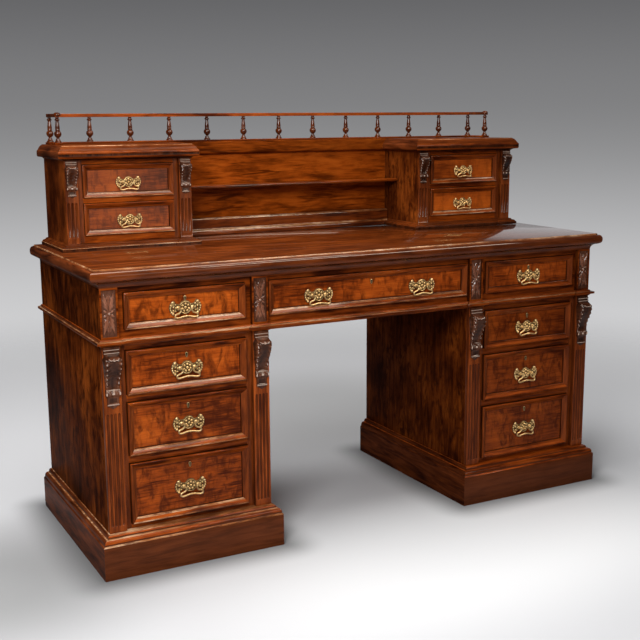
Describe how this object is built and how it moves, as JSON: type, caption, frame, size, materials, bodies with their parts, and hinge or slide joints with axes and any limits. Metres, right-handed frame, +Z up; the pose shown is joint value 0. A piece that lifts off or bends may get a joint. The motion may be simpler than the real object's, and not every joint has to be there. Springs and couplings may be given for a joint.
{
  "type": "pedestal desk",
  "caption": "Pedestal desk with drawer pedestals, frieze drawers and a raised back of small cabinets, an open shelf and a turned spindle gallery.",
  "frame": {"origin": "on the floor, at the centre of the desk's footprint", "axes": "+X along the desk to the right of someone who faces its front, +Y from the front to the back, +Z up"},
  "size_m": [1.5952, 0.615, 1.156],
  "materials": {
    "mahogany": "french polished",
    "flame_veneer": "french polished",
    "brass": "polished, aged"
  },
  "bodies": {
    "carcass": {"back_board": "mahogany", "back_ledge": "mahogany", "desktop": "mahogany", "frieze": "mahogany", "gallery_rail": "mahogany", "gallery_spindles": "mahogany", "left_cabinet": "mahogany", "left_cornice": "mahogany", "left_inner_pilaster": "mahogany", "left_outer_pilaster": "mahogany", "left_pedestal": "mahogany", "left_plinth": "mahogany", "right_cabinet": "mahogany", "right_cornice": "mahogany", "right_inner_pilaster": "mahogany", "right_outer_pilaster": "mahogany", "right_pedestal": "mahogany", "right_plinth": "mahogany", "shelf": "mahogany"},
    "centre_frieze_drawer": {"centre_frieze_drawer": "flame_veneer", "centre_frieze_drawer_left_plate": "brass", "centre_frieze_drawer_right_plate": "brass"},
    "left_bottom_drawer": {"left_bottom_drawer": "flame_veneer", "left_bottom_drawer_plate": "brass"},
    "left_cabinet_lower_drawer": {"left_cabinet_lower_drawer": "flame_veneer", "left_cabinet_lower_drawer_plate": "brass"},
    "left_cabinet_upper_drawer": {"left_cabinet_upper_drawer": "flame_veneer", "left_cabinet_upper_drawer_plate": "brass"},
    "left_frieze_drawer": {"left_frieze_drawer": "flame_veneer", "left_frieze_drawer_plate": "brass"},
    "left_middle_drawer": {"left_middle_drawer": "flame_veneer", "left_middle_drawer_plate": "brass"},
    "left_top_drawer": {"left_top_drawer": "flame_veneer", "left_top_drawer_plate": "brass"},
    "right_bottom_drawer": {"right_bottom_drawer": "flame_veneer", "right_bottom_drawer_plate": "brass"},
    "right_cabinet_lower_drawer": {"right_cabinet_lower_drawer": "flame_veneer", "right_cabinet_lower_drawer_plate": "brass"},
    "right_cabinet_upper_drawer": {"right_cabinet_upper_drawer": "flame_veneer", "right_cabinet_upper_drawer_plate": "brass"},
    "right_frieze_drawer": {"right_frieze_drawer": "flame_veneer", "right_frieze_drawer_plate": "brass"},
    "right_middle_drawer": {"right_middle_drawer": "flame_veneer", "right_middle_drawer_plate": "brass"},
    "right_top_drawer": {"right_top_drawer": "flame_veneer", "right_top_drawer_plate": "brass"},
    "centre_frieze_drawer_left_bail": {"centre_frieze_drawer_left_bail": "brass"},
    "centre_frieze_drawer_right_bail": {"centre_frieze_drawer_right_bail": "brass"},
    "left_bottom_drawer_bail": {"left_bottom_drawer_bail": "brass"},
    "left_cabinet_lower_drawer_bail": {"left_cabinet_lower_drawer_bail": "brass"},
    "left_cabinet_upper_drawer_bail": {"left_cabinet_upper_drawer_bail": "brass"},
    "left_frieze_drawer_bail": {"left_frieze_drawer_bail": "brass"},
    "left_middle_drawer_bail": {"left_middle_drawer_bail": "brass"},
    "left_top_drawer_bail": {"left_top_drawer_bail": "brass"},
    "right_bottom_drawer_bail": {"right_bottom_drawer_bail": "brass"},
    "right_cabinet_lower_drawer_bail": {"right_cabinet_lower_drawer_bail": "brass"},
    "right_cabinet_upper_drawer_bail": {"right_cabinet_upper_drawer_bail": "brass"},
    "right_frieze_drawer_bail": {"right_frieze_drawer_bail": "brass"},
    "right_middle_drawer_bail": {"right_middle_drawer_bail": "brass"},
    "right_top_drawer_bail": {"right_top_drawer_bail": "brass"}
  },
  "joints": [
    {"name": "centre_frieze_drawer_slide", "type": "slide", "parent": "carcass", "child": "centre_frieze_drawer", "axis": [0, -1, 0], "range_m": [0, 0.38]},
    {"name": "left_bottom_drawer_slide", "type": "slide", "parent": "carcass", "child": "left_bottom_drawer", "axis": [0, -1, 0], "range_m": [0, 0.38]},
    {"name": "left_cabinet_lower_drawer_slide", "type": "slide", "parent": "carcass", "child": "left_cabinet_lower_drawer", "axis": [0, -1, 0], "range_m": [0, 0.13]},
    {"name": "left_cabinet_upper_drawer_slide", "type": "slide", "parent": "carcass", "child": "left_cabinet_upper_drawer", "axis": [0, -1, 0], "range_m": [0, 0.13]},
    {"name": "left_frieze_drawer_slide", "type": "slide", "parent": "carcass", "child": "left_frieze_drawer", "axis": [0, -1, 0], "range_m": [0, 0.38]},
    {"name": "left_middle_drawer_slide", "type": "slide", "parent": "carcass", "child": "left_middle_drawer", "axis": [0, -1, 0], "range_m": [0, 0.38]},
    {"name": "left_top_drawer_slide", "type": "slide", "parent": "carcass", "child": "left_top_drawer", "axis": [0, -1, 0], "range_m": [0, 0.38]},
    {"name": "right_bottom_drawer_slide", "type": "slide", "parent": "carcass", "child": "right_bottom_drawer", "axis": [0, -1, 0], "range_m": [0, 0.38]},
    {"name": "right_cabinet_lower_drawer_slide", "type": "slide", "parent": "carcass", "child": "right_cabinet_lower_drawer", "axis": [0, -1, 0], "range_m": [0, 0.13]},
    {"name": "right_cabinet_upper_drawer_slide", "type": "slide", "parent": "carcass", "child": "right_cabinet_upper_drawer", "axis": [0, -1, 0], "range_m": [0, 0.13]},
    {"name": "right_frieze_drawer_slide", "type": "slide", "parent": "carcass", "child": "right_frieze_drawer", "axis": [0, -1, 0], "range_m": [0, 0.38]},
    {"name": "right_middle_drawer_slide", "type": "slide", "parent": "carcass", "child": "right_middle_drawer", "axis": [0, -1, 0], "range_m": [0, 0.38]},
    {"name": "right_top_drawer_slide", "type": "slide", "parent": "carcass", "child": "right_top_drawer", "axis": [0, -1, 0], "range_m": [0, 0.38]},
    {"name": "centre_frieze_drawer_left_bail_swing", "type": "hinge", "parent": "centre_frieze_drawer", "child": "centre_frieze_drawer_left_bail", "pos_m": [-0.165, -0.2745, 0.67015], "axis": [-1, 0, 0], "range_deg": [0, 90]},
    {"name": "centre_frieze_drawer_right_bail_swing", "type": "hinge", "parent": "centre_frieze_drawer", "child": "centre_frieze_drawer_right_bail", "pos_m": [0.165, -0.2745, 0.67015], "axis": [-1, 0, 0], "range_deg": [0, 90]},
    {"name": "left_bottom_drawer_bail_swing", "type": "hinge", "parent": "left_bottom_drawer", "child": "left_bottom_drawer_bail", "pos_m": [-0.5458, -0.2745, 0.1997], "axis": [-1, 0, 0], "range_deg": [0, 90]},
    {"name": "left_cabinet_lower_drawer_bail_swing", "type": "hinge", "parent": "left_cabinet_lower_drawer", "child": "left_cabinet_lower_drawer_bail", "pos_m": [-0.5631, 0.093, 0.8628], "axis": [-1, 0, 0], "range_deg": [0, 90]},
    {"name": "left_cabinet_upper_drawer_bail_swing", "type": "hinge", "parent": "left_cabinet_upper_drawer", "child": "left_cabinet_upper_drawer_bail", "pos_m": [-0.5631, 0.093, 0.96655], "axis": [-1, 0, 0], "range_deg": [0, 90]},
    {"name": "left_frieze_drawer_bail_swing", "type": "hinge", "parent": "left_frieze_drawer", "child": "left_frieze_drawer_bail", "pos_m": [-0.5458, -0.2745, 0.67015], "axis": [-1, 0, 0], "range_deg": [0, 90]},
    {"name": "left_middle_drawer_bail_swing", "type": "hinge", "parent": "left_middle_drawer", "child": "left_middle_drawer_bail", "pos_m": [-0.5458, -0.2745, 0.36905], "axis": [-1, 0, 0], "range_deg": [0, 90]},
    {"name": "left_top_drawer_bail_swing", "type": "hinge", "parent": "left_top_drawer", "child": "left_top_drawer_bail", "pos_m": [-0.5458, -0.2745, 0.5147], "axis": [-1, 0, 0], "range_deg": [0, 90]},
    {"name": "right_bottom_drawer_bail_swing", "type": "hinge", "parent": "right_bottom_drawer", "child": "right_bottom_drawer_bail", "pos_m": [0.5458, -0.2745, 0.1997], "axis": [-1, 0, 0], "range_deg": [0, 90]},
    {"name": "right_cabinet_lower_drawer_bail_swing", "type": "hinge", "parent": "right_cabinet_lower_drawer", "child": "right_cabinet_lower_drawer_bail", "pos_m": [0.5631, 0.093, 0.8628], "axis": [-1, 0, 0], "range_deg": [0, 90]},
    {"name": "right_cabinet_upper_drawer_bail_swing", "type": "hinge", "parent": "right_cabinet_upper_drawer", "child": "right_cabinet_upper_drawer_bail", "pos_m": [0.5631, 0.093, 0.96655], "axis": [-1, 0, 0], "range_deg": [0, 90]},
    {"name": "right_frieze_drawer_bail_swing", "type": "hinge", "parent": "right_frieze_drawer", "child": "right_frieze_drawer_bail", "pos_m": [0.5458, -0.2745, 0.67015], "axis": [-1, 0, 0], "range_deg": [0, 90]},
    {"name": "right_middle_drawer_bail_swing", "type": "hinge", "parent": "right_middle_drawer", "child": "right_middle_drawer_bail", "pos_m": [0.5458, -0.2745, 0.36905], "axis": [-1, 0, 0], "range_deg": [0, 90]},
    {"name": "right_top_drawer_bail_swing", "type": "hinge", "parent": "right_top_drawer", "child": "right_top_drawer_bail", "pos_m": [0.5458, -0.2745, 0.5147], "axis": [-1, 0, 0], "range_deg": [0, 90]}
  ]
}
